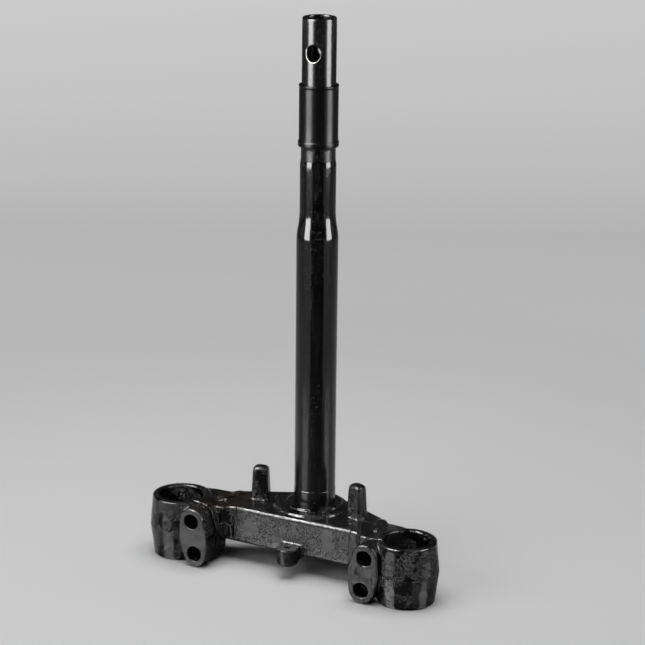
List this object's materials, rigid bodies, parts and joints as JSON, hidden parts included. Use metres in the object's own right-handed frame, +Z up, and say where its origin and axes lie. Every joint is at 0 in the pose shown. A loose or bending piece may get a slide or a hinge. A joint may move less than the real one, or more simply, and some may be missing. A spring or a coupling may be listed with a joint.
{
  "type": "motorcycle triple clamp",
  "caption": "Forged lower yoke with split leg clamps, steering stop pegs, a front boss and a hollow steering stem with a sleeved thread.",
  "frame": {"origin": "on the stem axis in the machined plane where the lower bearing's inner race rests; the clamp rims end in the same plane", "axes": "+Z up along the stem, +X along the yoke to the rider's left leg, -Y forward to the fork legs"},
  "size_m": [0.2288, 0.0836, 0.3976],
  "materials": {
    "black_paint": "gloss black paint over forged steel",
    "stem_paint": "satin gloss black paint over turned steel tube",
    "sleeve_plastic": "dark satin"
  },
  "bodies": {
    "root": {"lower_yoke": "black_paint", "steering_stem": "stem_paint", "thread_sleeve": "sleeve_plastic"}
  },
  "joints": []
}
